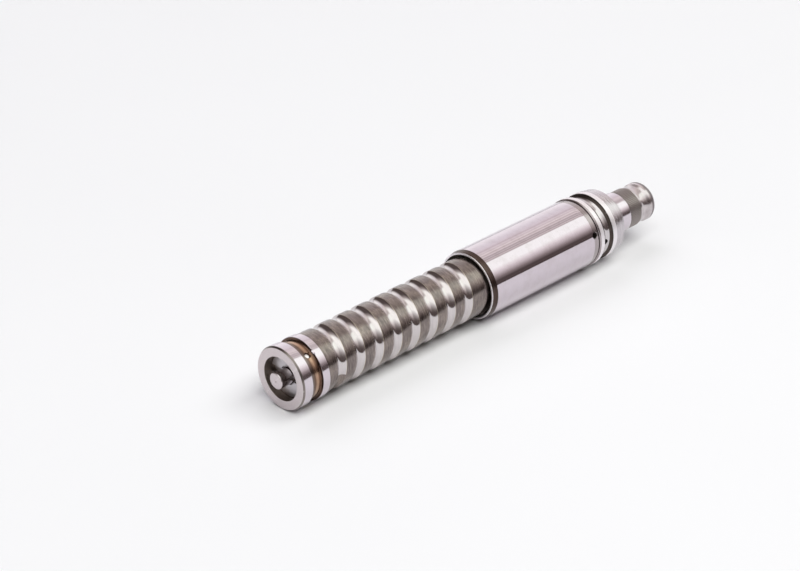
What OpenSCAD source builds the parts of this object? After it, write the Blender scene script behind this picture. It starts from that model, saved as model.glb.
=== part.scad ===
// Ball screw with its steering valve: a hollow left-hand ball screw, a smooth valve housing pinned to
// its end, a thrust bearing race, and a serrated input shaft held to the screw by a torsion bar.
// Stations along the axis (x) are measured from the open end face of the screw towards the input shaft.
// The origin is the point of the axis at the middle of the housing's ground journal, +X to the input.

/* [Ball screw] */
// Outside diameter of the thread's crests
screw_d = 32.5; // [30:0.1:33]
// Diameter of the two ground lands at the open end
land_d = 34; // [33:0.1:34.6]
// Lead of the left-hand ball groove, per turn
lead = 12.9; // [12:0.05:13.5]
// Width of the ball groove at the crest
groove_w = 6.4; // [5:0.1:7]
// Radius of the groove's round section, a little over the ball's
groove_r = 3.75; // [3.6:0.05:4]
// Diameter of the bore in the open end
nose_bore_d = 23.3; // [22.4:0.1:24]
// Length of the screw's open end, with its two lands
nose_len = 18; // [17.5:0.1:19]
// Depth from the open end face to the anchor bush
bush_depth = 4.8; // [4:0.1:5.5]

/* [Valve housing] */
// Outside diameter of the ground journal
housing_d = 38.4; // [37:0.1:39]
// Station of the housing's open mouth
housing_x0 = 132.3; // [131:0.1:134]
// Station of the housing's far shoulder
housing_x1 = 216.2; // [215.5:0.1:216.6]
// Bore of the recess in the housing's mouth
mouth_d = 35.2; // [34.6:0.1:36.2]

/* [Thrust bearing race] */
// Diameter of the race's front flange
flange_d = 39.2; // [38.6:0.1:40]
// Diameter at the bottom of the ball track
track_d = 33.2; // [32.6:0.1:34]

/* [Input shaft] */
// Diameter of the smooth seal journal
journal_d = 23.2; // [22.8:0.1:23.6]
// Outside diameter of the serration
serration_d = 22.2; // [21.8:0.1:22.4]
// Number of teeth on the serration
teeth = 72; // [60:2:80]
// Turn of the input shaft to each stop, from the middle
stop_angle = 6; // [4:0.5:7]

/* [Torsion bar] */
// Diameter of the torsion bar's fitted ends
bar_d = 8.8; // [8:0.1:9]
// Diameter of its thin, twisting length
waist_d = 6.4; // [6:0.1:7]
// How far its tip stands out of the screw's open end
bar_tip = 3.1; // [1:0.1:4]

/* [Hidden] */
$fn = 96;

fit = 0.03;       // radial gap of a close fit
e = 0.01;         // overlap that keeps cuts clean
datum_x = (housing_x0 + housing_x1) / 2;

// Screw
screw_r = screw_d / 2;
land_r = land_d / 2;
nose_bore_r = nose_bore_d / 2;
core_r = 6;                              // bore behind the anchor bush
land_1_x = 6.35;
land_2_x = 13.37;
nose_groove_r = 15.4;
nose_chamfer = [1.06, 0.6];              // length and depth
screw_end_x = 156;
spigot_r = 14;                           // end of the screw inside the housing
spigot_x = 138.8;
stop_x = 147.6;                          // start of the slot for the input shaft's tang
pin_hole_x = 10.6;
pin_hole_a = 56;                         // angle up from the -Y side
anchor_pin_r = 1.5;
bush_ring_x = 14.6;                      // O-rings in the anchor bush
housing_pin_x = stop_x - 4;
spigot_ring_x = stop_x - 7.5;

// Ball groove: a circular section swept along a helix whose last half turn runs out faster
groove_x0 = 26.4;                        // centre of the first groove on the -Y side
groove_turns = [-0.3, 8.08];
fade_turns = 0.1;                        // the groove rises out of the screw over this at each end
fade_lift = 2.4;
runout_turn = 7.55;
runout_rate = 1.8;
ball_circle_r = screw_r + sqrt(groove_r * groove_r - groove_w * groove_w / 4);
arc_half = 72;                           // half of the section's arc, past the crest
steps_per_turn = 24;
arc_steps = 6;

// Housing
housing_r = housing_d / 2;
band_r = housing_r - 0.22;               // relieved band at the far end of the journal
band_x = 212.4;
valve_r = 12.2;                          // bore for the control bushing
rear_r = 14.4;                           // threaded spigot that carries the race and the nut
rear_end_x = 237.4;
port_r = 1.75;
port_x = 213.6;
port_a = 20;

// Valve parts, in the housing's bore
bushing_x = [161, 199];
bushing_r = 9.44;                        // its bore, over the rotor
cup_x = [200.2, 210.4];
cup_r = 11.15;                           // bore of the needle cup
needle_r = 0.75;
needle_count = 18;
needle_x = [201.8, 208.8];
bushing_pin_x = bushing_x[0] + 6;
snap_ring_x = cup_x[1] + 1;

// Race
race_hole_x = 224;
race_hole_a = -6.5;
race_x = [216.6, 233];
race_ring_x = race_x[0] + 2;
track_rs = 3.9;                          // section radius of the track's round bottom
flange_x = 220.5;
track_x = 227.9;
race_r = 19.2;

// Nut
nut_x = [233.15, 243.6];
nut_r = 18.9;
nut_hub_r = 13.6;
nut_hub_x = 238.2;

// Input shaft
rotor_r = 9.4;
needle_journal_r = 9.6;
needle_pitch_r = (needle_journal_r + cup_r) / 2;
pilot_r = 8;
tang_half = 6;                           // half of the width across the tang's flats
tang_r = 8;
tang_x = [stop_x + 0.8, screw_end_x + 0.3];
journal_x = [244, 252];                  // the seal journal, outside the nut
relief_x = 217.2;                        // start of the slightly smaller length inside the nut
serration_x = [252.9, 261.5];
collar_x = 268.3;                        // start of the plain collar at the shaft's end
shaft_end_x = 273.4;
shaft_bore_r = 5.2;
bar_fit_x = 250;
journal_r = journal_d / 2;
serration_r = serration_d / 2;
tooth_depth = 0.4;
neck_r = 10.2;                           // necked length between the serration and the collar
shaft_ring_x = 255;                      // O-ring between the shaft and the torsion bar

// Torsion bar
bar_r = bar_d / 2;
waist_r = waist_d / 2;
bar_end_x = 270;
input_pin_x = 266;
input_pin_r = 1.5;

// Places children at a station of the axis, turned so that their Z runs along +X
module at(x) { translate([x - datum_x, 0, 0]) rotate([0, 90, 0]) children(); }

// A solid turned about the axis, from points of [radius, station]
module turned(points) { at(0) rotate_extrude() polygon(points); }

// A plain ring between two stations
module ring(x0, x1, r_in, r_out) {
    turned([[r_in, x0], [r_out, x0], [r_out, x1], [r_in, x1]]);
}

// A round ring of section radius rs, centred on radius rc
module torus(x, rc, rs) { at(x) rotate_extrude() translate([rc, 0]) circle(rs); }

// Children's Z points outwards from the axis, a degrees up from the -Y side
module radial(x, a) { translate([x - datum_x, 0, 0]) rotate([90 - a, 0, 0]) children(); }

// A radial pin or hole between two radii
module peg(x, a, r, r0, r1) { radial(x, a) translate([0, 0, r0]) cylinder(r = r, h = r1 - r0); }

// Station of the groove's centre after a number of turns
function groove_x(t) = groove_x0 + lead * t
    + (t > runout_turn ? lead * runout_rate * pow(t - runout_turn, 2) : 0);

// How far the section is lifted where the groove fades out at its two ends
function groove_lift(t) =
    fade_lift * pow(max(0, 1 - min(t - groove_turns[0], groove_turns[1] - t) / fade_turns), 2);

// One point of the swept section: t in turns, s in degrees round the section from its deepest point
function groove_point(t, s) =
    let (
        r = ball_circle_r - groove_r * cos(s) + groove_lift(t),
        x = groove_x(t) + groove_r * sin(s),
        a = 360 * t
    )
    [x - datum_x, -r * cos(a), r * sin(a)];

module ball_groove() {
    rings = ceil((groove_turns[1] - groove_turns[0]) * steps_per_turn);
    n = arc_steps + 1;
    points = [
        for (i = [0 : rings], j = [0 : arc_steps])
            groove_point(
                groove_turns[0] + (groove_turns[1] - groove_turns[0]) * i / rings,
                arc_half * (2 * j / arc_steps - 1)
            )
    ];
    sides = [
        for (i = [0 : rings - 1], j = [0 : n - 1], k = [0, 1])
            let (a = i * n + j, b = i * n + (j + 1) % n)
            k == 0 ? [a, b, b + n] : [a, b + n, a + n]
    ];
    caps = [[for (j = [n - 1 : -1 : 0]) j], [for (j = [0 : n - 1]) rings * n + j]];
    polyhedron(points, concat(sides, caps), convexity = 10);
}

// Slot that lets the double-D tang turn by the stop angle each way
module stop_slot() {
    at(stop_x) linear_extrude(screw_end_x - stop_x + 1) intersection() {
        circle(tang_r + 0.3);
        union() for (a = [-1, 1])
            rotate(a * (stop_angle + 0.5)) square([4 * tang_r, 2 * tang_half + 0.1], center = true);
    }
}

module ball_screw() {
    color("#8f8a86") difference() {
        turned([
            [nose_bore_r, 0],
            [land_r - nose_chamfer[1], 0],
            [land_r, nose_chamfer[0]],
            [land_r, land_1_x],
            [nose_groove_r, land_1_x + 0.6],
            [nose_groove_r, land_2_x - 0.6],
            [land_r, land_2_x],
            [land_r, nose_len - 0.3],
            [land_r - 0.3, nose_len],
            [screw_r, nose_len],
            [screw_r, spigot_x - 0.6],
            [screw_r - 0.6, spigot_x],
            [spigot_r, spigot_x],
            [spigot_r, screw_end_x],
            [core_r, screw_end_x],
            [core_r, nose_len],
            [nose_bore_r, nose_len],
        ]);
        ball_groove();
        stop_slot();
        peg(pin_hole_x, pin_hole_a, anchor_pin_r + fit, 10, land_r);
        peg(housing_pin_x, -90, anchor_pin_r + fit, 9, land_r);
        torus(spigot_ring_x, spigot_r, 0.9);
    }
}

module anchor_bush() {
    x1 = nose_len - 0.4;
    slot_w = 4.2;
    slot_depth = 2.4;
    color("#8a888c") difference() {
        turned([
            [bar_r + 0.5, bush_depth],
            [nose_bore_r - 0.4, bush_depth],
            [nose_bore_r - fit, bush_depth + 0.4],
            [nose_bore_r - fit, x1],
            [bar_r + fit, x1],
            [bar_r + fit, bush_depth + 1.5],
            [bar_r + 0.5, bush_depth + 1.5],
        ]);
        translate([bush_depth - e - datum_x, -nose_bore_r, -slot_w / 2])
            cube([slot_depth + e, nose_bore_d, slot_w]);
        peg(pin_hole_x, pin_hole_a, anchor_pin_r + fit, 0, nose_bore_r + 1);
        torus(bush_ring_x, nose_bore_r, 0.9);
        torus(bush_ring_x, bar_r, 0.8);
    }
}

module anchor_pin() {
    color("#b9a8a4") peg(pin_hole_x, pin_hole_a, anchor_pin_r, 0, nose_groove_r - 1);
}

// O-ring in the anchor bush, against the screw's bore
module bush_o_ring() { color("#1b1b1b") torus(bush_ring_x, nose_bore_r - 0.45, 0.42); }

// O-ring in the anchor bush, against the torsion bar
module bar_o_ring() { color("#1b1b1b") torus(bush_ring_x, bar_r + 0.4, 0.36); }

module torsion_bar() {
    taper = 2.5;
    color("#b4b0b2") difference() {
        turned([
            [0, -bar_tip],
            [bar_r - 0.5, -bar_tip],
            [bar_r, -bar_tip + 0.5],
            [bar_r, nose_len - 0.4],
            [waist_r, nose_len - 0.4 + taper],
            [waist_r, bar_fit_x - taper],
            [bar_r, bar_fit_x],
            [bar_r, bar_end_x - 0.5],
            [bar_r - 0.5, bar_end_x],
            [0, bar_end_x],
        ]);
        at(-bar_tip - e) cylinder(r1 = 0.9, r2 = 0, h = 1);
        at(bar_end_x - 1 + e) cylinder(r1 = 0, r2 = 0.9, h = 1);
        peg(pin_hole_x, pin_hole_a, anchor_pin_r + fit, -e, bar_r + 1);
        peg(input_pin_x, -90, input_pin_r + fit, -bar_r - 1, bar_r + 1);
    }
}

module valve_housing() {
    lip = 1;
    lead_in = 3.7;
    color("#c3bfc4") difference() {
        turned([
            [mouth_d / 2, housing_x0],
            [mouth_d / 2 + lip, housing_x0],
            [housing_r, housing_x0 + lead_in],
            [housing_r, band_x],
            [band_r, band_x + 0.15],
            [band_r, housing_x1 - 0.4],
            [band_r - 0.4, housing_x1],
            [rear_r, housing_x1],
            [rear_r, rear_end_x - 0.5],
            [rear_r - 0.5, rear_end_x],
            [valve_r + 0.1, rear_end_x],
            [valve_r + 0.1, housing_x1],
            [valve_r, housing_x1],
            [valve_r, screw_end_x + 0.1],
            [spigot_r + fit, screw_end_x + 0.1],
            [spigot_r + fit, spigot_x + 0.3],
            [mouth_d / 2, spigot_x + 0.3],
        ]);
        peg(port_x, port_a, port_r, valve_r - 1, housing_r + 1);
        peg(housing_pin_x, -90, anchor_pin_r + fit, spigot_r - 1, housing_r + 1);
        peg(race_hole_x, race_hole_a, port_r, valve_r - 1, rear_r + 1);
        peg(bushing_pin_x, -90, anchor_pin_r + fit, valve_r - 1, housing_r - 2);
        torus(snap_ring_x, valve_r, 0.6);
    }
}

module housing_pin() {
    color("#9a979a") peg(housing_pin_x, -90, anchor_pin_r, 9.1, housing_r - 0.25);
}

module housing_o_ring() { color("#1b1b1b") torus(spigot_ring_x, spigot_r - 0.42, 0.4); }

module pilot_bush() {
    color("#b08d57") ring(screw_end_x + 0.2, bushing_x[0] - 0.7, pilot_r + fit, valve_r - fit);
}

module thrust_washer() {
    color("#b08d57") ring(bushing_x[0] - 0.6, bushing_x[0] - 0.1, pilot_r + 0.1, valve_r - fit);
}

// Stations of the seal rings' grooves on the control bushing
function seal_x(i) = bushing_x[0] + 3 + i * 10.6;

module control_bushing() {
    ports = 6;
    color("#9d9a9c") difference() {
        ring(bushing_x[0], bushing_x[1], bushing_r, valve_r - fit);
        for (i = [0 : 3]) ring(seal_x(i) - 0.8, seal_x(i) + 0.8, valve_r - 0.9, valve_r + 1);
        for (i = [0 : 2], k = [0 : ports - 1])
            peg(seal_x(i) + 5.3, k * 360 / ports + 30, 1.2, bushing_r - 1, valve_r + 1);
        for (i = [0 : 2]) ring(seal_x(i) + 3.8, seal_x(i) + 6.8, valve_r - 0.7, valve_r + 1);
        peg(bushing_pin_x, -90, anchor_pin_r + fit, bushing_r + 0.8, valve_r + 1);
    }
}

module bushing_pin() {
    color("#9a979a") peg(bushing_pin_x, -90, anchor_pin_r, bushing_r + 0.9, valve_r + 1.6);
}

module bushing_seal_rings() {
    color("#3a3430") for (i = [0 : 3]) {
        ring(seal_x(i) - 0.7, seal_x(i) + 0.7, valve_r - 0.85, valve_r - 0.02);
    }
}

module needle_cup() {
    color("#8d8f92") turned([
        [cup_r, cup_x[0]],
        [valve_r - fit, cup_x[0]],
        [valve_r - fit, cup_x[1]],
        [cup_r, cup_x[1]],
    ]);
}

module needle_cage() {
    color("#b9a36b") difference() {
        ring(cup_x[0] + 0.5, cup_x[1] - 0.5, needle_journal_r + 0.25, cup_r - 0.25);
        for (k = [0 : needle_count - 1]) at(needle_x[0] - 0.1) rotate(k * 360 / needle_count)
            translate([needle_pitch_r, 0, 0])
                cylinder(r = needle_r + 0.08, h = needle_x[1] - needle_x[0] + 0.2);
    }
}

module needle_rollers() {
    color("#d0d0d2") for (k = [0 : needle_count - 1]) at(needle_x[0]) rotate(k * 360 / needle_count)
        translate([needle_pitch_r, 0, 0]) cylinder(r = needle_r, h = needle_x[1] - needle_x[0], $fn = 32);
}

// Split ring in the housing's groove behind the needle cup
module snap_ring() {
    color("#55524f") difference() {
        torus(snap_ring_x, valve_r, 0.5);
        at(snap_ring_x - 2) rotate(90) translate([0, -2, 0]) cube([valve_r + 2, 4, 4]);
    }
}

module bearing_race() {
    bore_r = rear_r + fit;
    color("#c9c4c8") difference() {
        turned([
            [bore_r, race_x[0]],
            [flange_d / 2 - 0.4, race_x[0]],
            [flange_d / 2, race_x[0] + 0.4],
            [flange_d / 2, flange_x - 0.3],
            [flange_d / 2 - 0.3, flange_x],
            [track_d / 2 + 0.5, flange_x],
            [track_d / 2 + 0.5, track_x],
            [race_r - 0.3, track_x],
            [race_r, track_x + 0.3],
            [race_r - 0.15, race_x[1]],
            [bore_r, race_x[1]],
        ]);
        torus((flange_x + track_x) / 2, track_d / 2 + track_rs, track_rs);
        peg(race_hole_x, race_hole_a, port_r, bore_r - 1, race_r);
        torus(race_ring_x, bore_r, 0.8);
    }
}

module race_o_ring() { color("#1b1b1b") torus(race_ring_x, rear_r + 0.42, 0.36); }

module retaining_nut() {
    spanner_holes = 4;
    color("#a9a4a8") difference() {
        turned([
            [rear_r + fit, nut_x[0]],
            [nut_r, nut_x[0]],
            [nut_r - 0.5, nut_hub_x - 0.4],
            [nut_r - 0.9, nut_hub_x],
            [nut_hub_r + 0.4, nut_hub_x],
            [nut_hub_r, nut_hub_x + 0.4],
            [nut_hub_r - 0.2, nut_x[1]],
            [nut_hub_r - 0.7, nut_x[1]],
            [nut_hub_r - 0.7, rear_end_x + 0.4],
            [rear_r + fit, rear_end_x + 0.4],
        ]);
        for (k = [0 : spanner_holes - 1]) at(nut_hub_x - 2.5) rotate(k * 360 / spanner_holes + 45)
            translate([(nut_r + nut_hub_r) / 2, 0, 0]) cylinder(r = 1.3, h = 4);
    }
}

// Rubber lip seal in the nut's hub
module input_seal() {
    color("#1f1c1b") turned([
        [journal_r + 0.05, rear_end_x + 2.6],
        [journal_r + 0.5, rear_end_x + 0.8],
        [nut_hub_r - 0.75, rear_end_x + 0.8],
        [nut_hub_r - 0.75, rear_end_x + 4.4],
        [journal_r + 0.5, rear_end_x + 4.4],
        [journal_r + 0.05, rear_end_x + 3],
    ]);
}

module wiper_ring() {
    color("#2a2724") ring(rear_end_x + 4.5, nut_x[1] - 0.2, journal_r + 0.05, nut_hub_r - 0.75);
}

module serration_teeth() {
    tip_r = serration_r;
    root_r = serration_r - tooth_depth;
    at(serration_x[0]) linear_extrude(serration_x[1] - serration_x[0]) polygon([
        for (k = [0 : teeth - 1], p = [[0, root_r], [0.3, root_r], [0.5, tip_r], [0.8, tip_r]])
            let (a = (k + p[0]) * 360 / teeth) p[1] * [cos(a), sin(a)]
    ]);
}

// Double-D end that turns in the screw's stop slot
module tang() {
    at(tang_x[0]) intersection() {
        cylinder(r = tang_r, h = tang_x[1] - tang_x[0] + e);
        translate([-tang_r, -tang_half, 0]) cube([2 * tang_r, 2 * tang_half, 20]);
    }
}

module shaft_body() {
    inner_r = journal_r - 0.4;
    base_r = serration_r - tooth_depth - 0.15;
    turned([
        [0, tang_x[1]],
        [pilot_r - 0.4, tang_x[1]],
        [pilot_r, tang_x[1] + 0.4],
        [pilot_r, bushing_x[0]],
        [rotor_r, bushing_x[0]],
        [rotor_r, bushing_x[1] + 0.6],
        [needle_journal_r - 0.02, bushing_x[1] + 1],
        [needle_journal_r - 0.02, relief_x - 1],
        [inner_r - 0.4, relief_x - 1],
        [inner_r, relief_x - 0.5],
        [inner_r, journal_x[0] - 0.4],
        [journal_r, journal_x[0]],
        [journal_r, journal_x[1] - 0.4],
        [journal_r - 0.4, journal_x[1]],
        [base_r, journal_x[1]],
        [base_r, serration_x[1] + 0.2],
        [serration_r - 0.3, serration_x[1] + 0.5],
        [neck_r + 0.6, serration_x[1] + 0.9],
        [neck_r, serration_x[1] + 2.6],
        [neck_r, serration_x[1] + 4.6],
        [neck_r + 0.2, collar_x - 0.8],
        [serration_r, collar_x + 0.8],
        [serration_r, shaft_end_x - 1.4],
        [serration_r - 1, shaft_end_x],
        [0, shaft_end_x],
    ]);
}

module input_shaft() {
    control_grooves = 6;
    color("#a8a3a4") difference() {
        union() {
            tang();
            shaft_body();
            serration_teeth();
        }
        at(tang_x[0] - 1) cylinder(r = shaft_bore_r, h = bar_fit_x - 1 - tang_x[0]);
        at(tang_x[0]) cylinder(r = bar_r + fit, h = shaft_end_x - tang_x[0] + 1);
        for (k = [0 : control_grooves - 1]) radial(bushing_x[0] + 8, k * 360 / control_grooves)
            translate([0, -1.1, rotor_r - 0.8]) cube([22, 2.2, 2]);
        peg(input_pin_x, -90, input_pin_r + fit, 0, serration_r + 1);
        torus(shaft_ring_x, bar_r, 0.8);
    }
}

module input_pin() { color("#9a979a") peg(input_pin_x, -90, input_pin_r, -bar_r + 0.4, 9.2); }

// O-ring between the torsion bar and the input shaft
module input_o_ring() { color("#1b1b1b") torus(shaft_ring_x, bar_r + 0.4, 0.36); }

ball_screw();
anchor_bush();
anchor_pin();
bush_o_ring();
bar_o_ring();
torsion_bar();
valve_housing();
housing_pin();
housing_o_ring();
pilot_bush();
thrust_washer();
control_bushing();
bushing_pin();
bushing_seal_rings();
needle_cup();
needle_cage();
needle_rollers();
snap_ring();
bearing_race();
race_o_ring();
retaining_nut();
input_seal();
wiper_ring();
input_shaft();
input_pin();
input_o_ring();
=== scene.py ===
import math

import bmesh
import bpy
import numpy as np
from mathutils import Matrix, Vector


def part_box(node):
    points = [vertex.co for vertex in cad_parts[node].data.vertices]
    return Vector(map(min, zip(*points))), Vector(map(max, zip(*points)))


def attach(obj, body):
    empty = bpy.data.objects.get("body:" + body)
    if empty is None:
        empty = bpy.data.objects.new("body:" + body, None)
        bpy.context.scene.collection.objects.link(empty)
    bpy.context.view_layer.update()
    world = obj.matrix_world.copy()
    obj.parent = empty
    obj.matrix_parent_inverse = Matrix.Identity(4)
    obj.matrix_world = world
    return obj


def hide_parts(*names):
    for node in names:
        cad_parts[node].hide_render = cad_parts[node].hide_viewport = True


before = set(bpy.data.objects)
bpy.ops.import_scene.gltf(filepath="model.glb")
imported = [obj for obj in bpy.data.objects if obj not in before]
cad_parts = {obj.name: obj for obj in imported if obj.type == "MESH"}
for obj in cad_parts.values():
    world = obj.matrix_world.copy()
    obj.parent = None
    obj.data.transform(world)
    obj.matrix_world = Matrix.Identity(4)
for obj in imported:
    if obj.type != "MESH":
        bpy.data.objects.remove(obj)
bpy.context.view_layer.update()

# Stations along the axis and radii are in millimetres, as in the CAD, measured from the open end
# face of the screw. Angles go round the axis from the -Y side up over +Z, in degrees.
MM = 0.001
FIT = 0.03                               # radial gap of a close fit
NOSE_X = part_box("ball_screw")[0].x
SEGMENTS = 192

# Screw
LAND_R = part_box("ball_screw")[1].z / MM
CREST_R = 16.25
NOSE_BORE_R = 11.65
CORE_R = 6.0
NOSE_LEN = 18.0
NOSE_CHAMFER = (1.06, 0.6)               # length and depth
STOP_X, STOP_R = 147.6, CORE_R + 2.2     # the stop slot, drawn round because it is never seen
LAND_1_X = 6.35
LAND_2_X = 13.37
NOSE_GROOVE_R = 15.4
SPIGOT_X = 138.8
SPIGOT_R = 14.0
SCREW_END_X = (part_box("ball_screw")[1].x - NOSE_X) / MM
PIN_X, PIN_ANGLE, PIN_R = 10.6, 56, 1.5
PIN_HOLE_R = PIN_R + FIT
UNDERSIDE = -90                          # angle of the housing pin and the input pin
HOUSING_PIN_X, INPUT_PIN_X = 143.6, 266

# Ball groove
LEAD = 12.9
GROOVE_X0 = 26.4
GROOVE_R = 3.75
GROOVE_HALF_WIDTH = 3.2
BALL_CIRCLE_R = CREST_R + math.sqrt(GROOVE_R**2 - GROOVE_HALF_WIDTH**2)
GROOVE_TURNS = (-0.3, 8.08)
FADE_TURNS, FADE_LIFT = 0.1, 2.4
RUNOUT_TURN, RUNOUT_RATE = 7.55, 1.8
EDGE_R = 0.22                            # small radius along the groove's edges
RUN_IN_X, RUNOUT_X = 30, 126.5           # the groove is painted dark before and after these: painted shade on its start underneath and inside the housing's mouth

# Housing, race and nut
HOUSING_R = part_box("valve_housing")[1].z / MM
HOUSING_X0 = (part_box("valve_housing")[0].x - NOSE_X) / MM
HOUSING_X1 = 216.2
HOUSING_END_X = (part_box("valve_housing")[1].x - NOSE_X) / MM
MOUTH_R, LIP = 17.6, 1.0
LEAD_IN = 3.7
BAND_X, BAND_R = 212.4, HOUSING_R - 0.22
VALVE_R = 12.2
REAR_R = 14.4
PORT_X, PORT_ANGLE, PORT_R = 213.6, 20, 1.75
RACE_X = tuple((c.x - NOSE_X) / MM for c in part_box("bearing_race"))
FLANGE_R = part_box("bearing_race")[1].z / MM
FLANGE_X, TRACK_X = 220.5, 227.9
TRACK_R, TRACK_SECTION_R = 16.6, 3.9
RACE_R = 19.2
RACE_HOLE_X, RACE_HOLE_ANGLE = 224, -6.5
NUT_X = tuple((c.x - NOSE_X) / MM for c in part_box("retaining_nut"))
NUT_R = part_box("retaining_nut")[1].z / MM
NUT_HUB_R, NUT_HUB_X = 13.6, 238.2

# Shafts
JOURNAL_R = 11.6
SERRATION_R, TOOTH_DEPTH, TEETH = 11.1, 0.4, 72
NECK_R = 10.2
COLLAR_X = 268.3
RIM_WIDTH = 3.4
SHAFT_X0 = 216.2                         # the shaft is drawn from here; the rest is inside the housing
JOURNAL_X = (244, 252)
SERRATION_X = (252.9, 261.5)
BAR_R, WAIST_R = 4.4, 3.2
BAR_TAPER = 2.5
BAR_FIT_X = 250
BUSH_DEPTH = 4.8


def station(x):
    return NOSE_X + x * MM


# ---------------------------------------------------------------- mesh tools


def rounded(profile, steps=4):
    """Points (x, r) of a profile of (x, r) or (x, r, fillet), with an arc at each filleted corner."""
    out = []
    n = len(profile)
    for i, p in enumerate(profile):
        radius = p[2] if len(p) > 2 else 0
        here = Vector(p[:2])
        if not radius:
            out.append(tuple(here))
            continue
        before = (Vector(profile[i - 1][:2]) - here).normalized()
        after = (Vector(profile[(i + 1) % n][:2]) - here).normalized()
        half = before.angle(after) / 2
        reach = radius / math.tan(half)
        centre = here + (before + after).normalized() * radius / math.sin(half)
        a, b = here + before * reach - centre, here + after * reach - centre
        turn = a.angle_signed(b)
        for k in range(steps + 1):
            out.append(tuple(centre + Matrix.Rotation(-turn * k / steps, 2) @ a))
    return out


def arc(centre_x, centre_r, radius, start, end, steps):
    """Points (x, r) of an arc; the angle is 0 towards +X and 90 away from the axis."""
    angles = [math.radians(start + (end - start) * k / steps) for k in range(steps + 1)]
    return [(centre_x + radius * math.cos(a), centre_r + radius * math.sin(a)) for a in angles]


def divided(points, step):
    """The closed outline with no straight stretch along the axis longer than step."""
    out = []
    for (x0, r0), (x1, r1) in zip(points, points[1:] + points[:1]):
        cuts = max(1, math.ceil(abs(x1 - x0) / step))
        out += [(x0 + (x1 - x0) * k / cuts, r0 + (r1 - r0) * k / cuts) for k in range(cuts)]
    return out


def place(x, r, angle):
    """Row-frame points for stations, radii and angles in degrees, as arrays."""
    a = np.radians(angle)
    x, r, a = np.broadcast_arrays(x, r, a)
    return np.stack([NOSE_X + x * MM, -r * np.cos(a) * MM, r * np.sin(a) * MM], axis=-1)


def mesh_object(name, points, faces, sharp=34):
    """A smooth-shaded object whose edges over the sharp angle stay crisp."""
    mesh = bpy.data.meshes.new(name)
    mesh.from_pydata([tuple(p) for p in points], [], faces)
    obj = bpy.data.objects.new(name, mesh)
    bpy.context.scene.collection.objects.link(obj)
    tidy(obj, sharp)
    return obj


def tidy(obj, sharp=34):
    """Welds, turns every face outwards and marks the crisp edges."""
    bm = bmesh.new()
    bm.from_mesh(obj.data)
    bmesh.ops.remove_doubles(bm, verts=bm.verts, dist=2e-7)
    bmesh.ops.dissolve_degenerate(bm, edges=bm.edges, dist=1e-7)
    bmesh.ops.recalc_face_normals(bm, faces=bm.faces)
    bm.to_mesh(obj.data)
    bm.free()
    obj.data.shade_smooth()
    obj.data.set_sharp_from_angle(angle=math.radians(sharp))


def ring_faces(columns, rows, closed):
    """Quads between neighbouring columns of a grid whose points are stored column by column."""
    faces = []
    for c in range(columns):
        a, b = c * rows, ((c + 1) % columns) * rows
        for k in range(rows if closed else rows - 1):
            m = (k + 1) % rows
            faces.append((a + k, b + k, b + m, a + m))
    return faces


def lathe(name, profile, segments=SEGMENTS, step=6.0):
    """A closed outline of (x, r) turned about the axis. Points on the axis become poles."""
    outline = divided([tuple(p) for p in profile], step)
    x, r = np.array(outline).T
    angles = np.arange(segments) * 360 / segments
    points = place(x[None, :], r[None, :], angles[:, None]).reshape(-1, 3)
    return mesh_object(name, points, ring_faces(segments, len(outline), True))


def cut(obj, cutter):
    """Subtracts the cutter from obj and removes it."""
    m = obj.modifiers.new("cut", "BOOLEAN")
    m.operation, m.solver, m.object = "DIFFERENCE", "EXACT", cutter
    apply_modifiers(obj)
    bpy.data.objects.remove(cutter)
    tidy(obj)


def apply_modifiers(obj):
    graph = bpy.context.evaluated_depsgraph_get()
    mesh = bpy.data.meshes.new_from_object(obj.evaluated_get(graph))
    obj.modifiers.clear()
    obj.data = mesh


def radial_frame(x, angle):
    """Matrix that takes local Z to the outward radial direction at a station and angle."""
    a = math.radians(angle)
    out = Vector((0, -math.cos(a), math.sin(a)))
    along = Vector((1, 0, 0))
    m = Matrix.Identity(4)
    m.col[0][:3], m.col[1][:3], m.col[2][:3] = along, out.cross(along), out
    m.col[3][:3] = (station(x), 0, 0)
    return m


def spun(name, profile, matrix, segments=48):
    """An outline of (height, radius), starting and ending on its axis, turned about local Z."""
    points, rows = [], len(profile)
    for c in range(segments):
        a = 2 * math.pi * c / segments
        for h, r in profile:
            points.append(matrix @ Vector((r * MM * math.cos(a), r * MM * math.sin(a), h * MM)))
    return mesh_object(name, points, ring_faces(segments, rows, False))


def drill(obj, x, angle, r, r_in, r_surface, chamfer):
    """A radial hole with a chamfered rim from r_in out through the surface at r_surface."""
    rim = 2.0
    profile = [(r_in, 0), (r_in, r), (r_surface - chamfer, r), (r_surface + rim, r + chamfer + rim)]
    cut(obj, spun("cutter", profile + [(r_surface + rim, 0)], radial_frame(x, angle)))


# ---------------------------------------------------------------- materials


def new_material(name):
    material = bpy.data.materials.new(name)
    material.use_nodes = True
    nodes = material.node_tree.nodes
    return material, nodes, material.node_tree.links, nodes["Principled BSDF"]


def add(nodes, kind, **values):
    node = nodes.new(kind)
    for key, value in values.items():
        setattr(node, key, value)
    return node


def noise(nodes, links, coords, scale, detail=4.0, stretch=(1, 1, 1), roughness=0.55):
    """A noise texture over the piece's own coordinates, stretched along each axis; returns its factor."""
    mapping = add(nodes, "ShaderNodeMapping")
    mapping.inputs["Scale"].default_value = stretch
    links.new(coords, mapping.inputs["Vector"])
    texture = add(nodes, "ShaderNodeTexNoise")
    texture.inputs["Scale"].default_value = scale
    texture.inputs["Detail"].default_value = detail
    texture.inputs["Roughness"].default_value = roughness
    links.new(mapping.outputs["Vector"], texture.inputs["Vector"])
    return texture.outputs["Fac"]


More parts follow.
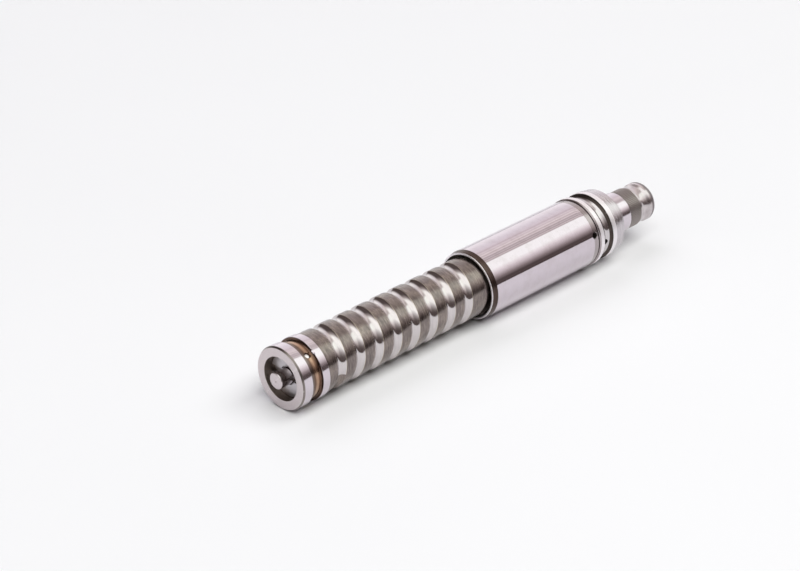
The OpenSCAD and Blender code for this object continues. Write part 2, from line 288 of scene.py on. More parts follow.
def ramp(nodes, links, factor, stops):
    """A colour ramp; stops are (position, colour) with a grey or an RGB colour."""
    node = add(nodes, "ShaderNodeValToRGB")
    elements = node.color_ramp.elements
    while len(elements) < len(stops):
        elements.new(0.5)
    for element, (position, colour) in zip(elements, stops):
        element.position = position
        rgb = (colour,) * 3 if isinstance(colour, (int, float)) else colour
        element.color = (*rgb, 1)
    links.new(factor, node.inputs["Fac"])
    return node.outputs["Color"]


def mixed(nodes, links, factor, a, b, blend="MIX"):
    """Mixes two colours, each an output or an RGB value, by an output or a number."""
    node = add(nodes, "ShaderNodeMix", data_type="RGBA", blend_type=blend)
    for socket, value in ((node.inputs["Factor"], factor), (node.inputs["A"], a), (node.inputs["B"], b)):
        if isinstance(value, bpy.types.NodeSocket):
            links.new(value, socket)
        elif isinstance(value, (int, float)):
            socket.default_value = value
        else:
            socket.default_value = (*value, 1)
    return node.outputs["Result"]


def bands(nodes, links, coords, stops):
    """A multiplying colour that changes along the axis, here painted shade and a painted highlight across
    the nose groove; stops are (station, colour).
    """
    split = add(nodes, "ShaderNodeSeparateXYZ")
    links.new(coords, split.inputs[0])
    along = add(nodes, "ShaderNodeMapRange")
    along.inputs["From Min"].default_value = station(stops[0][0])
    along.inputs["From Max"].default_value = station(stops[-1][0])
    links.new(split.outputs["X"], along.inputs["Value"])
    length = stops[-1][0] - stops[0][0]
    return ramp(nodes, links, along.outputs["Result"], [((x - stops[0][0]) / length, c) for x, c in stops])


def steel(
    name, dark, light, rough, marks, patches=0.0, tint=None, bump=0.05, metallic=1.0, along=(),
):
    """A machined metal. dark and light are its two tones and rough its (low, high) roughness. marks is
    the stretch of its machining marks: large along X and small round it for a turned surface. patches
    is how strongly the tint shows in its cloudy patches. along holds any bands of colour along the axis;
    on the nose groove they are painted shade at its walls and a painted highlight down its middle.
    Metals are also rubbed lighter along their corners."""
    material, nodes, links, shader = new_material(name)
    coords = add(nodes, "ShaderNodeTexCoord").outputs["Object"]
    lines = noise(nodes, links, coords, 1.0, 4.0, marks, 0.75)
    cloud = noise(nodes, links, coords, 160.0, 6.0, roughness=0.65)
    colour = mixed(nodes, links, ramp(nodes, links, lines, [(0.32, 0.0), (0.68, 1.0)]), dark, light)
    if patches:
        cover = ramp(nodes, links, cloud, [(0.46, 0.0), (0.66, patches)])
        colour = mixed(nodes, links, cover, colour, tint or dark)
    if metallic:
        corner = add(nodes, "ShaderNodeNewGeometry").outputs["Pointiness"]
        colour = mixed(nodes, links, ramp(nodes, links, corner, [(0.53, 0.0), (0.62, 0.4)]), colour, WORN)
    if along:
        colour = mixed(nodes, links, 1.0, colour, bands(nodes, links, coords, along), "MULTIPLY")
    links.new(colour, shader.inputs["Base Color"])
    both = mixed(nodes, links, 0.5, lines, cloud)
    links.new(ramp(nodes, links, both, [(0.35, rough[0]), (0.65, rough[1])]), shader.inputs["Roughness"])
    relief = add(nodes, "ShaderNodeBump")
    relief.inputs["Strength"].default_value = bump
    relief.inputs["Distance"].default_value = 0.00003
    links.new(lines, relief.inputs["Height"])
    links.new(relief.outputs["Normal"], shader.inputs["Normal"])
    shader.inputs["Metallic"].default_value = metallic
    return material


WORN = (0.78, 0.74, 0.73)                # bare metal where corners are rubbed

# Stretches of the machining marks, for the kinds of surface
TURNED = (5200, 6, 6)
COARSE_TURNED = (2400, 10, 10)
FACED = (60, 2400, 2400)
ETCHED = (1500, 1500, 1500)

GROUND = steel("ground_steel", (0.60, 0.545, 0.59), (0.68, 0.62, 0.67), (0.09, 0.15), TURNED)
HOUSING = steel(
    "housing_steel", (0.58, 0.52, 0.57), (0.65, 0.585, 0.635), (0.03, 0.07), TURNED, 0.35,
    (0.50, 0.44, 0.46),
)
BAND = steel("band_steel", (0.34, 0.295, 0.30), (0.45, 0.40, 0.41), (0.16, 0.24), TURNED)
# painted highlight: near-white rough steel standing in for the bright reflection on the housing's lip and
# the race's flanges
PAINTED_HIGHLIGHT = steel("painted_highlight_steel", (0.84, 0.80, 0.83), (0.92, 0.88, 0.91), (0.42, 0.52), TURNED)
FACE = steel("faced_steel", (0.56, 0.50, 0.51), (0.66, 0.60, 0.61), (0.26, 0.38), FACED)
CHAMFER = steel("chamfer_steel", (0.055, 0.037, 0.032), (0.105, 0.073, 0.064), (0.2, 0.32), COARSE_TURNED)
BEVEL = steel("bevel_steel", (0.19, 0.165, 0.155), (0.30, 0.265, 0.25), (0.24, 0.36), COARSE_TURNED)
# painted shade: near-black steel put where shade falls, in the groove inside the housing's mouth, in the
# race's hole, on the race's far track wall and on the housing band's rear corner
PAINTED_SHADE = steel(
    "painted_shade_steel", (0.05, 0.039, 0.035), (0.105, 0.084, 0.077), (0.34, 0.46), COARSE_TURNED,
)
CREST = steel(
    "crest_steel", (0.115, 0.096, 0.09), (0.31, 0.262, 0.25), (0.14, 0.32), (1500, 200, 200), 0.5,
    (0.36, 0.305, 0.265), 0.2,
)
EDGE = steel("worn_edge_steel", (0.42, 0.36, 0.27), (0.62, 0.55, 0.44), (0.3, 0.42), ETCHED)
BALL_TRACK = steel(
    "ball_track_steel", (0.55, 0.51, 0.515), (0.66, 0.615, 0.62), (0.07, 0.15), (700, 90, 90), 0.25,
)
# copper tint of the nose groove, multiplied by bands that paint shade at its walls and a highlight down its
# middle
COPPER_WITH_PAINTED_LIGHT = steel(
    "copper_tint_painted_light_steel", (0.72, 0.72, 0.72), (1.0, 1.0, 1.0), (0.14, 0.26), (1500, 60, 60), 0.5,
    (0.6, 0.55, 0.5),
    along=[
        (LAND_1_X, (0.36, 0.32, 0.33)),
        (7.4, (0.26, 0.22, 0.21)),
        (8.6, (0.21, 0.16, 0.14)),
        (9.5, (0.21, 0.13, 0.095)),
        (10.2, (0.50, 0.34, 0.25)),
        (11.1, (0.55, 0.36, 0.26)),
        (11.8, (0.30, 0.18, 0.12)),
        (12.6, (0.18, 0.105, 0.075)),
        (LAND_2_X, (0.12, 0.08, 0.065)),
    ],
)
BORE = steel("bore_steel", (0.19, 0.155, 0.13), (0.31, 0.265, 0.23), (0.35, 0.5), COARSE_TURNED, 0.5)
RECESS = steel(
    "recess_steel", (0.62, 0.61, 0.60), (0.76, 0.75, 0.74), (0.4, 0.55), COARSE_TURNED,
    metallic=0.5,
)
BUSH = steel("bush_steel", (0.50, 0.475, 0.495), (0.66, 0.63, 0.66), (0.34, 0.48), FACED)
BAR = steel("bar_steel", (0.64, 0.60, 0.62), (0.76, 0.72, 0.74), (0.14, 0.24), COARSE_TURNED)
TRACK = steel("race_track_steel", (0.54, 0.505, 0.515), (0.64, 0.605, 0.62), (0.1, 0.17), TURNED)
NUT = steel("nut_steel", (0.50, 0.465, 0.49), (0.62, 0.58, 0.61), (0.2, 0.32), COARSE_TURNED)
SERRATION = steel("serration_steel", (0.42, 0.345, 0.33), (0.60, 0.50, 0.48), (0.3, 0.42), ETCHED, 0.4)
# painted shade: near-black steel in the roots between the serration's teeth
PAINTED_ROOT_SHADE = steel("serration_root_painted_shade_steel", (0.06, 0.052, 0.05), (0.11, 0.098, 0.094), (0.4, 0.55), ETCHED)
BARREL = steel(
    "barrel_steel", (0.50, 0.455, 0.465), (0.66, 0.61, 0.62), (0.12, 0.26), TURNED, 0.6,
    (0.36, 0.31, 0.315),
)
COLLAR = steel("collar_steel", (0.20, 0.175, 0.182), (0.33, 0.295, 0.305), (0.34, 0.48), COARSE_TURNED, 0.3)
BRONZE = steel("bearing_bronze", (0.40, 0.27, 0.12), (0.58, 0.42, 0.21), (0.35, 0.5), COARSE_TURNED)
RUBBER = steel("seal_rubber", (0.012, 0.012, 0.012), (0.03, 0.03, 0.028), (0.55, 0.7), ETCHED, metallic=0)
PTFE = steel("filled_ptfe", (0.045, 0.04, 0.035), (0.09, 0.08, 0.07), (0.4, 0.55), ETCHED, metallic=0)


def paint(obj, *rules):
    """Gives each face the material of the first rule its middle meets; the last rule is a bare material.
    A rule is (test, material), and test takes the face's station, radius, normal and angle."""
    tests = [*rules[:-1], (lambda x, r, n, a: True, rules[-1])]
    for _, material in tests:
        obj.data.materials.append(material)
    for face in obj.data.polygons:
        c = face.center
        x, r, a = (c.x - NOSE_X) / MM, math.hypot(c.y, c.z) / MM, math.degrees(math.atan2(c.z, -c.y))
        face.material_index = next(i for i, (test, _) in enumerate(tests) if test(x, r, face.normal, a))


def finished(obj, body, slot, *nodes):
    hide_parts(*nodes)
    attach(obj, body)


def repaint(node, material):
    """A CAD node whose shape is kept gets a finished material."""
    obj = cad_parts[node]
    obj.data.materials.clear()
    obj.data.materials.append(material)
    obj.data.shade_smooth()
    obj.data.set_sharp_from_angle(angle=math.radians(30))


# ---------------------------------------------------------------- ball screw


def groove_x(t):
    runout = np.where(t > RUNOUT_TURN, LEAD * RUNOUT_RATE * (t - RUNOUT_TURN) ** 2, 0)
    return GROOVE_X0 + LEAD * t + runout


def groove_lift(t):
    """How far the groove's section is lifted out of the screw where it fades in and out."""
    inside = np.minimum(t - GROOVE_TURNS[0], GROOVE_TURNS[1] - t)
    return FADE_LIFT * np.maximum(0, 1 - inside / FADE_TURNS) ** 2


def groove_slot(t, low_x, high_x):
    """Points (x, r) across the groove after t turns: a round bottom with a small radius at each edge."""
    centre_r = BALL_CIRCLE_R + float(groove_lift(t))
    rise = centre_r - CREST_R
    x = float(groove_x(t))
    reach = (GROOVE_R + EDGE_R) ** 2 - (rise + EDGE_R) ** 2
    half = math.sqrt(max(0.0, reach))
    lean = math.degrees(math.atan2(half, rise + EDGE_R))
    fillet = arc(-half, CREST_R - EDGE_R, EDGE_R, 90, 90 - lean, 4)
    bottom = arc(0, centre_r, GROOVE_R, 270 - lean, 270 + lean, 18)
    points = fillet[:-1] + bottom + [(-u, r) for u, r in reversed(fillet[:-1])]
    if reach <= 0:
        points = [(0, CREST_R)] * len(points)
    return [(min(max(x + u, low_x), high_x), r) for u, r in points]


def screw_column(a, start, end, crest_cuts=2):
    """The screw's closed outline at a turns round the axis."""
    low_x, high_x = start[-1][0], end[0][0]
    points = list(start)
    for k in range(-1, math.ceil(GROOVE_TURNS[1]) + 1):
        slot = groove_slot(k + a, low_x, high_x)
        x0, x1 = points[-1][0], slot[0][0]
        points += [(x0 + (x1 - x0) * c / crest_cuts, CREST_R) for c in range(1, crest_cuts)]
        points += slot
    x0 = points[-1][0]
    points += [(x0 + (high_x - x0) * c / crest_cuts, CREST_R) for c in range(1, crest_cuts)]
    return points + list(end)


def make_ball_screw():
    nose_r = 0.7
    nose = rounded([
        (NOSE_LEN, CORE_R),
        (NOSE_LEN, NOSE_BORE_R, 0.3),
        (0, NOSE_BORE_R, 0.35),
        (0, LAND_R - NOSE_CHAMFER[1], 0.1),
        (NOSE_CHAMFER[0], LAND_R, 0.12),
        (LAND_1_X, LAND_R, 0.2),
        (LAND_1_X + 0.35, NOSE_GROOVE_R, nose_r),
        (LAND_2_X - 0.35, NOSE_GROOVE_R, nose_r),
        (LAND_2_X, LAND_R, 0.2),
        (NOSE_LEN - 0.3, LAND_R, 0.1),
        (NOSE_LEN, LAND_R - 0.3, 0.05),
        (NOSE_LEN, CREST_R, 0.1),
        (NOSE_LEN + 0.4, CREST_R),
    ], 6)
    tail = rounded([
        (SPIGOT_X - 0.6, CREST_R),
        (SPIGOT_X, CREST_R - 0.6),
        (SPIGOT_X, SPIGOT_R),
        (SCREW_END_X, SPIGOT_R),
        (SCREW_END_X, STOP_R),
        (STOP_X, STOP_R),
        (STOP_X, CORE_R),
    ])
    columns = [screw_column(c / SEGMENTS, nose, tail) for c in range(SEGMENTS + 1)]
    rows = len(columns[0])
    grid = np.array(columns)
    angles = np.arange(SEGMENTS + 1) * 360 / SEGMENTS
    points = place(grid[:, :, 0], grid[:, :, 1], angles[:, None]).reshape(-1, 3)
    faces = [f for f in ring_faces(SEGMENTS + 1, rows, True) if f[0] < SEGMENTS * rows]
    screw = mesh_object("ball_screw_body", points, faces, 30)
    drill(screw, PIN_X, PIN_ANGLE, PIN_R + 0.05, NOSE_BORE_R - 2, NOSE_GROOVE_R, 0.3)
    paint(
        screw,
        (lambda x, r, n, a: x < NOSE_LEN + 0.1 and r < NOSE_BORE_R + 0.2, BORE),
        (lambda x, r, n, a: x < 0.3, FACE),
        (lambda x, r, n, a: x < 1.3, BEVEL),
        # copper tint with painted shade and a painted highlight across the nose groove
        (lambda x, r, n, a: LAND_1_X < x < LAND_2_X and r < LAND_R - 0.2, COPPER_WITH_PAINTED_LIGHT),
        (lambda x, r, n, a: x < NOSE_LEN + 0.05, GROUND),
        # painted shade on the groove where it runs inside the housing's mouth
        (lambda x, r, n, a: x > RUNOUT_X and r < CREST_R - 0.05, PAINTED_SHADE),
        # painted shade: the groove's start on the underside gets the crest's darker steel
        (lambda x, r, n, a: x < RUN_IN_X and -120 < a < -12, CREST),
        (lambda x, r, n, a: r > CREST_R - 0.01, CREST),
        (lambda x, r, n, a: r > CREST_R - EDGE_R and x < SPIGOT_X - 1, EDGE),
        (lambda x, r, n, a: r > SPIGOT_R + 0.1 and x < SPIGOT_X - 0.5, BALL_TRACK),
        BORE,
    )
    finished(screw, "screw", "screw_steel", "ball_screw")


def make_anchor_bush():
    end_x = NOSE_LEN - 0.4
    outer_r = NOSE_BORE_R - 0.06
    recess_x = BUSH_DEPTH + 1.5
    slot_x = BUSH_DEPTH + 2.4
    bush = lathe("anchor_bush_body", rounded([
        (BUSH_DEPTH, BAR_R + 0.5, 0.15),
        (BUSH_DEPTH, outer_r, 0.4),
        (end_x, outer_r),
        (end_x, BAR_R + FIT),
        (recess_x, BAR_R + FIT),
        (recess_x, BAR_R + 0.5),
    ]), step=2.0)
    cut(bush, box_mesh("cutter", (BUSH_DEPTH - 1, -13, -2.1), (slot_x, 13, 2.1)))
    paint(bush, (lambda x, r, n, a: n.x < -0.7 and x < BUSH_DEPTH + 3, BUSH), BORE)
    finished(bush, "screw", "machined_steel", "anchor_bush")


def make_torsion_bar():
    tip_x, end_x = ((c.x - NOSE_X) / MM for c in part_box("torsion_bar"))
    centre_r, centre_depth = 0.7, 0.55
    fit_end_x = NOSE_LEN - 0.4
    bar = lathe("torsion_bar_body", rounded([
        (tip_x + centre_depth, 0),
        (tip_x, centre_r, 0.1),
        (tip_x, BAR_R, 0.55),
        (fit_end_x, BAR_R, 0.5),
        (fit_end_x + BAR_TAPER, WAIST_R, 0.8),
        (BAR_FIT_X - BAR_TAPER, WAIST_R, 0.8),
        (BAR_FIT_X, BAR_R, 0.5),
        (end_x, BAR_R, 0.5),
        (end_x, centre_r, 0.1),
        (end_x - centre_depth, 0),
    ]), 96)
    paint(bar, (lambda x, r, n, a: x < tip_x + 0.3 or x > end_x - 0.3, FACE), BAR)
    finished(bar, "screw", "spring_steel", "torsion_bar")


def make_anchor_pin():
    top = NOSE_GROOVE_R - 1
    pin = spun("anchor_pin_body", rounded([
        (0.05, 0), (0.05, PIN_R, 0.2), (top, PIN_R, 0.4), (top, 0),
    ]), radial_frame(PIN_X, PIN_ANGLE))
    paint(pin, BAR)
    finished(pin, "screw", "machined_steel", "anchor_pin")


def box_mesh(name, low, high):
    """A block between two corners given as (station, y, z) in mm."""
    corners = [(x, y, z) for x in (low[0], high[0]) for y in (low[1], high[1]) for z in (low[2], high[2])]
    points = [(station(x), y * MM, z * MM) for x, y, z in corners]
    faces = [(0, 1, 3, 2), (4, 6, 7, 5), (0, 4, 5, 1), (2, 3, 7, 6), (0, 2, 6, 4), (1, 5, 7, 3)]
    return mesh_object(name, points, faces)


# ---------------------------------------------------------------- housing, race and nut


def make_housing():
    housing = lathe("valve_housing_body", rounded([
        (HOUSING_X0, MOUTH_R, 0.15),
        (HOUSING_X0, MOUTH_R + LIP, 0.4),
        (HOUSING_X0 + LEAD_IN, HOUSING_R, 0.5),
        (BAND_X, HOUSING_R, 0.06),
        (BAND_X + 0.15, BAND_R, 0.05),
        (HOUSING_X1, BAND_R, 0.4),
        (HOUSING_X1, REAR_R),
        (HOUSING_END_X, REAR_R, 0.4),
        (HOUSING_END_X, VALVE_R + 0.1),
        (HOUSING_X1, VALVE_R + 0.1),
        (HOUSING_X1, VALVE_R),
        (SCREW_END_X + 0.1, VALVE_R),
        (SCREW_END_X + 0.1, SPIGOT_R + FIT),
        (SPIGOT_X + 0.3, SPIGOT_R + FIT),
        (SPIGOT_X + 0.3, MOUTH_R),
    ]), step=3.0)
    drill(housing, PORT_X, PORT_ANGLE, PORT_R, VALVE_R - 1, BAND_R, 0.22)
    drill(housing, HOUSING_PIN_X, UNDERSIDE, PIN_HOLE_R, SPIGOT_R - 1, HOUSING_R, 0.15)
    drill(housing, RACE_HOLE_X, RACE_HOLE_ANGLE, PORT_R, VALVE_R - 1, REAR_R + 0.3, 0.2)
    paint(
        housing,
        # painted highlight on the housing's lip
        (lambda x, r, n, a: x < HOUSING_X0 + 0.35 and r > MOUTH_R - 0.1, PAINTED_HIGHLIGHT),
        (lambda x, r, n, a: x < HOUSING_X0 + LEAD_IN - 0.1 and r > MOUTH_R + 0.3, CHAMFER),
        (lambda x, r, n, a: r > BAND_R - 0.5 and x < BAND_X, HOUSING),
        (lambda x, r, n, a: r > BAND_R - 0.1 and x < HOUSING_X1, BAND),
        # painted shade on the housing band's rear corner, next to the race
        (lambda x, r, n, a: r > BAND_R - 0.5 and x < HOUSING_X1, PAINTED_SHADE),
        (lambda x, r, n, a: x < SPIGOT_X, RECESS),
        BORE,
    )
    finished(housing, "screw", "ground_steel", "valve_housing")


def in_race_hole(x, r, n, a):
    """Whether a face is on the wall of the hole in the race's track."""
    outward = n.z * math.sin(math.radians(a)) - n.y * math.cos(math.radians(a))
    near_axis = abs(x - RACE_HOLE_X) < PORT_R + 0.05 and abs(a - RACE_HOLE_ANGLE) < 8
    return near_axis and abs(outward) < 0.3


def make_race():
    bore_r = REAR_R + FIT
    centre_x = (FLANGE_X + TRACK_X) / 2
    half = math.degrees(math.asin((TRACK_X - FLANGE_X - 0.5) / 2 / TRACK_SECTION_R))
    track = arc(centre_x, TRACK_R + TRACK_SECTION_R, TRACK_SECTION_R, 270 - half, 270 + half, 20)
    race = lathe("bearing_race_body", rounded([
        (RACE_X[0], bore_r),
        (RACE_X[0], FLANGE_R, 0.9),
        (FLANGE_X, FLANGE_R, 0.6),
        (FLANGE_X, track[0][1]),
        *track,
        (TRACK_X, track[-1][1]),
        (TRACK_X, RACE_R, 0.3),
        (RACE_X[1], RACE_R - 0.1, 0.2),
        (RACE_X[1], bore_r),
    ]), step=1.0)
    drill(race, RACE_HOLE_X, RACE_HOLE_ANGLE, PORT_R, bore_r - 1, TRACK_R + 0.75, 0.15)
    paint(
        race,
        # painted shade inside the hole in the race's track
        (in_race_hole, PAINTED_SHADE),
        # painted shade on the race's rounded front edge, next to the housing
        (lambda x, r, n, a: x < RACE_X[0] + 1.1 and r > RACE_R - 0.6, BAND),
        # painted highlight round the race's front flange
        (lambda x, r, n, a: x < FLANGE_X and r > RACE_R - 0.1, PAINTED_HIGHLIGHT),
        (lambda x, r, n, a: FLANGE_X < x < centre_x + 2.2 and r < track[0][1] + 0.05, TRACK),
        # painted shade on the far wall of the race's track
        (lambda x, r, n, a: x < TRACK_X + 0.02, PAINTED_SHADE),
        # painted highlight round the race's rear flange
        (lambda x, r, n, a: r > RACE_R - 0.3 and x < TRACK_X + 3.2, PAINTED_HIGHLIGHT),
        (lambda x, r, n, a: r > RACE_R - 0.5, NUT),
        FACE,
    )
    finished(race, "screw", "ground_steel", "bearing_race")


def make_nut():
    bore_r = REAR_R + FIT
    seal_r = NUT_HUB_R - 0.7
    nut = lathe("retaining_nut_body", rounded([
        (NUT_X[0], bore_r),
        (NUT_X[0], NUT_R, 0.2),
        (NUT_HUB_X - 0.5, NUT_R - 0.5, 0.3),
        (NUT_HUB_X, NUT_R - 0.9, 0.2),
        (NUT_HUB_X, NUT_HUB_R, 0.35),
        (NUT_X[1], NUT_HUB_R - 0.2, 0.2),
        (NUT_X[1], seal_r, 0.1),
        (HOUSING_END_X + 0.4, seal_r),
        (HOUSING_END_X + 0.4, bore_r),
    ]), step=1.0)
    for k in range(4):
        a = math.radians(90 * k + 45)
        middle = (NUT_R + NUT_HUB_R) / 2 * MM
        m = Matrix.Translation((station(NUT_HUB_X), middle * math.cos(a), middle * math.sin(a)))
        m = m @ Matrix.Rotation(math.pi / 2, 4, "Y")
        cut(nut, spun("cutter", [(-2.5, 0), (-2.5, 1.3), (-0.2, 1.3), (1, 2.5), (1, 0)], m, 32))
    paint(nut, (lambda x, r, n, a: abs(n.x) > 0.7, FACE), NUT)
    finished(nut, "screw", "machined_steel", "retaining_nut")


# ---------------------------------------------------------------- input shaft


def make_input_shaft():
    end_x = (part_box("input_shaft")[1].x - NOSE_X) / MM
    fit_r = BAR_R + FIT
    inner_r = JOURNAL_R - 0.4
    root_r = SERRATION_R - TOOTH_DEPTH - 0.15
    x1 = SERRATION_X[1]
    front = rounded([
        (SHAFT_X0, fit_r),
        (SHAFT_X0, inner_r - 0.4, 0.1),
        (SHAFT_X0 + 0.5, inner_r, 0.1),
        (JOURNAL_X[0] - 0.4, inner_r),
        (JOURNAL_X[0], JOURNAL_R),
        (JOURNAL_X[1], JOURNAL_R, 0.4),
        (JOURNAL_X[1], root_r, 0.1),
        (x1 + 0.2, root_r, 0.1),
        (x1 + 0.5, SERRATION_R - 0.3, 0.15),
        (x1 + 0.9, NECK_R + 0.6, 0.2),
        (x1 + 2.6, NECK_R, 3.5),
        (x1 + 4.6, NECK_R, 3.5),
        (COLLAR_X - 0.8, NECK_R + 0.2, 2),
        (COLLAR_X + 0.8, SERRATION_R, 1.2),
        (end_x - 1.4, SERRATION_R, 1.3),
        (end_x, SERRATION_R - 1, 0.6),
        (end_x, fit_r, 0.3),
    ], 6)
    shaft = lathe("input_shaft_end", front, step=1.5)
    drill(shaft, INPUT_PIN_X, UNDERSIDE, PIN_HOLE_R, BAR_R - 1, NECK_R, 0.15)
    paint(
        shaft,
        (lambda x, r, n, a: r < fit_r + 0.1, BORE),
        (lambda x, r, n, a: x > end_x - 0.2, FACE),
        (lambda x, r, n, a: x > end_x - RIM_WIDTH, COLLAR),
        (lambda x, r, n, a: x > x1 + 0.1, BARREL),
        (lambda x, r, n, a: x > JOURNAL_X[1] - 0.2, SERRATION),
        GROUND,
    )
    finished(shaft, "input", "shaft_steel", "input_shaft")

    teeth = serration("input_serration", root_r - 0.1)
    # painted shade on the roots between the teeth
    paint(teeth, (lambda x, r, n, a: r < SERRATION_R - TOOTH_DEPTH / 2, PAINTED_ROOT_SHADE), SERRATION)
    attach(teeth, "input")


def serration(name, inner_r):
    """A ring of teeth with bevelled ends."""
    steps = [(0.0, 0), (0.38, 0), (0.5, 1), (0.86, 1)]
    length = SERRATION_X[1] - SERRATION_X[0]
    columns = []
    for k in range(TEETH):
        for part, up in steps:
            outer = SERRATION_R - TOOTH_DEPTH * (1 - up)
            angle = (k + part) * 360 / TEETH
            outline = [(0, inner_r), (0, outer - 0.3 * up), (0.3, outer), (length - 0.3, outer)]
            outline += [(length, outer - 0.3 * up), (length, inner_r)]
            columns.append([(angle, SERRATION_X[0] + x, r) for x, r in outline])
    grid = np.array(columns)
    points = place(grid[:, :, 1], grid[:, :, 2], grid[:, :, 0]).reshape(-1, 3)
    return mesh_object(name, points, ring_faces(len(columns), len(columns[0]), True), 20)


# ---------------------------------------------------------------- studio


def make_floor():
    """A pale floor that the screw's front land and the race's front flange both rest on."""
    land_x, flange_x = station(3.7), station((RACE_X[0] + FLANGE_X) / 2)
    slope = (FLANGE_R - LAND_R) * MM / (flange_x - land_x)
    size = 6.0
    mesh = bpy.data.meshes.new("floor")
    corners = [(-size, -size), (size, -size), (size, size), (-size, size)]
    height = -LAND_R * MM - 0.0001
    mesh.from_pydata([(x, y, height - slope * (x - land_x)) for x, y in corners], [], [(0, 1, 2, 3)])
    floor = bpy.data.objects.new("floor", mesh)
    bpy.context.scene.collection.objects.link(floor)
    material, nodes, links, shader = new_material("floor_paper")
    coords = add(nodes, "ShaderNodeTexCoord").outputs["Object"]
    grain = noise(nodes, links, coords, 3.0, 2.0)
    paper = ramp(nodes, links, grain, [(0.3, (0.935, 0.94, 0.935)), (0.7, (0.95, 0.955, 0.95))])
    links.new(paper, shader.inputs["Base Color"])
    shader.inputs["Roughness"].default_value = 0.9
    shader.inputs["Specular IOR Level"].default_value = 0.1
    mesh.materials.append(material)


def make_camera():
    data = bpy.data.cameras.new("camera")
    data.sensor_width, data.lens = 36, 108
    camera = bpy.data.objects.new("camera", data)
    right = Vector((0.70740, -0.70681, 0.0))
    up = Vector((0.34268, 0.34297, 0.87461))
    m = Matrix.Identity(4)
    m.col[0][:3], m.col[1][:3], m.col[2][:3] = right, up, right.cross(up)
    m.col[3][:3] = Vector((-0.6694, -0.7529, 0.6099)) + Vector((NOSE_X, 0, 0))
    camera.matrix_world = m
    data.clip_start, data.clip_end = 0.01, 50
    bpy.context.scene.collection.objects.link(camera)
    bpy.context.scene.camera = camera


def softbox(name, direction, distance, size, power, colour=(1, 1, 1)):
    """An area light that faces the middle of the object from a direction; the metal doesn't mirror it."""
    data = bpy.data.lights.new(name, "AREA")
    data.shape, data.size, data.size_y = "RECTANGLE", size[0], size[1]
    data.energy, data.color = power, colour
    light = bpy.data.objects.new(name, data)
    way = Vector(direction).normalized()
    light.location = way * distance
    light.rotation_mode = "QUATERNION"
    light.rotation_quaternion = way.to_track_quat("Z", "Y")
    light.visible_glossy = False
    bpy.context.scene.collection.objects.link(light)


# The room that the metal mirrors, as colours by the angle round the axis: 0 is level on the camera's
# side, 90 overhead and 180 level behind. FAR_ROOM is seen on the screw's side and NEAR_ROOM on the
# input side.
DARK = (0.063, 0.050, 0.047)
SOFTBOX = (0.78, 0.82, 0.77)
RISE = [
    (0, DARK),
    (12, DARK),
    (22, (0.21, 0.18, 0.175)),
    (32, (0.43, 0.40, 0.39)),
    (42, (0.64, 0.62, 0.60)),
]
STREAKS = [
    (80, (0.34, 0.305, 0.29)),
    (84, (0.52, 0.48, 0.46)),
    (87, (0.3, 0.27, 0.26)),
    (90, (0.46, 0.425, 0.41)),
    (95, (0.34, 0.31, 0.3)),
    (99, (0.6, 0.555, 0.53)),
    (103, (0.4, 0.365, 0.35)),
    (108, (0.64, 0.6, 0.57)),
    (112, (0.48, 0.44, 0.43)),
    (117, (0.58, 0.54, 0.53)),
    (122, (0.44, 0.4, 0.4)),
]
BACKDROP = [(128, (0.55, 0.515, 0.52)), (142, (0.56, 0.54, 0.55)), (162, (0.65, 0.64, 0.64))]
NEAR_ROOM = RISE + [(52, SOFTBOX), (77, SOFTBOX)] + STREAKS + BACKDROP
FAR_ROOM = [
    (0, DARK), (14, DARK), (23, (0.11, 0.095, 0.09)), (34, (0.26, 0.24, 0.235)), (44, (0.46, 0.45, 0.44)),
    (58, (0.78, 0.80, 0.77)), (97, (0.80, 0.81, 0.78)), (113, (0.26, 0.23, 0.22)), (129, DARK),
]


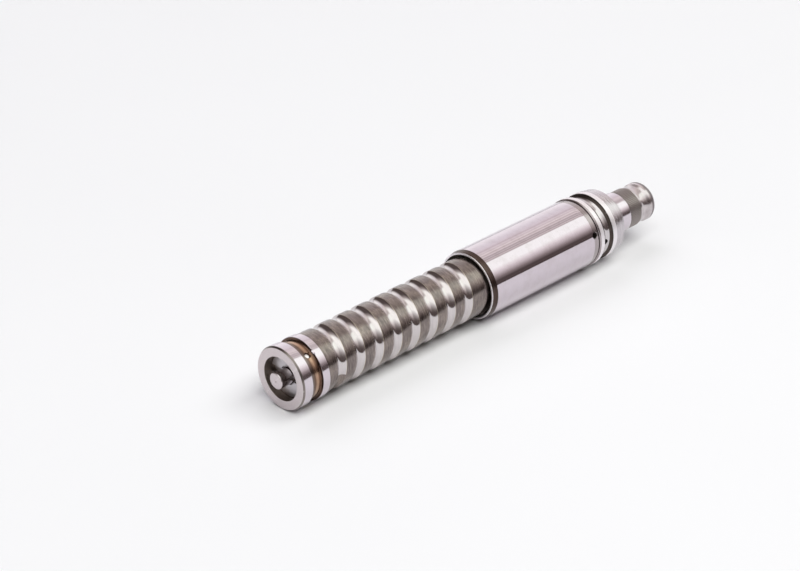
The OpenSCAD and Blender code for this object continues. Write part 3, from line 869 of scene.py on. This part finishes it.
def height_angle(nodes, links, split):
    """The angle round the axis of the direction that a world ray takes, from 0 to 1 for a half turn."""
    front = add(nodes, "ShaderNodeMath", operation="MULTIPLY")
    front.inputs[1].default_value = -1
    links.new(split.outputs["Y"], front.inputs[0])
    angle = add(nodes, "ShaderNodeMath", operation="ARCTAN2")
    links.new(split.outputs["Z"], angle.inputs[0])
    links.new(front.outputs[0], angle.inputs[1])
    part = add(nodes, "ShaderNodeMath", operation="DIVIDE")
    part.inputs[1].default_value = math.pi
    links.new(angle.outputs[0], part.inputs[0])
    return part.outputs[0]


def make_world():
    """Lights the metal's reflections with the room; the floor is lit by the softboxes alone."""
    world = bpy.data.worlds.new("studio")
    bpy.context.scene.world = world
    world.use_nodes = True
    nodes, links = world.node_tree.nodes, world.node_tree.links
    background = nodes["Background"]
    coords = add(nodes, "ShaderNodeTexCoord").outputs["Generated"]
    split = add(nodes, "ShaderNodeSeparateXYZ")
    links.new(coords, split.inputs[0])
    height = height_angle(nodes, links, split)
    rooms = ([(a / 180, c) for a, c in stops] for stops in (FAR_ROOM, NEAR_ROOM))
    tones = [ramp(nodes, links, height, stops) for stops in rooms]
    side = ramp(nodes, links, split.outputs["X"], [(0.05, 0.0), (0.4, 1.0)])
    links.new(mixed(nodes, links, side, *tones), background.inputs["Color"])
    background.inputs["Strength"].default_value = 1.9
    world.cycles_visibility.diffuse = False


def make_studio():
    make_world()
    softbox("key", (0.05, -0.42, 0.90), 3, (5, 2), 106)
    softbox("left_fill", (-0.72, 0.15, 0.68), 3, (3, 3), 18, (0.97, 0.95, 1.0))
    softbox("back_fill", (0.20, 0.66, 0.72), 3, (3, 2), 30, (0.96, 0.93, 1.0))
    bpy.context.scene.view_settings.view_transform = "Standard"


def repaint_hidden_parts():
    for node in ("bush_o_ring", "bar_o_ring", "housing_o_ring", "race_o_ring", "input_seal", "input_o_ring"):
        repaint(node, RUBBER)
    for node in ("wiper_ring", "bushing_seal_rings"):
        repaint(node, PTFE)
    for node in ("pilot_bush", "thrust_washer", "needle_cage"):
        repaint(node, BRONZE)
    for node in ("housing_pin", "bushing_pin", "input_pin", "snap_ring", "control_bushing"):
        repaint(node, BAR)
    for node in ("needle_cup", "needle_rollers"):
        repaint(node, GROUND)


make_camera()
make_ball_screw()
make_anchor_bush()
make_torsion_bar()
make_anchor_pin()
make_housing()
make_race()
make_nut()
make_input_shaft()
repaint_hidden_parts()
make_floor()
make_studio()
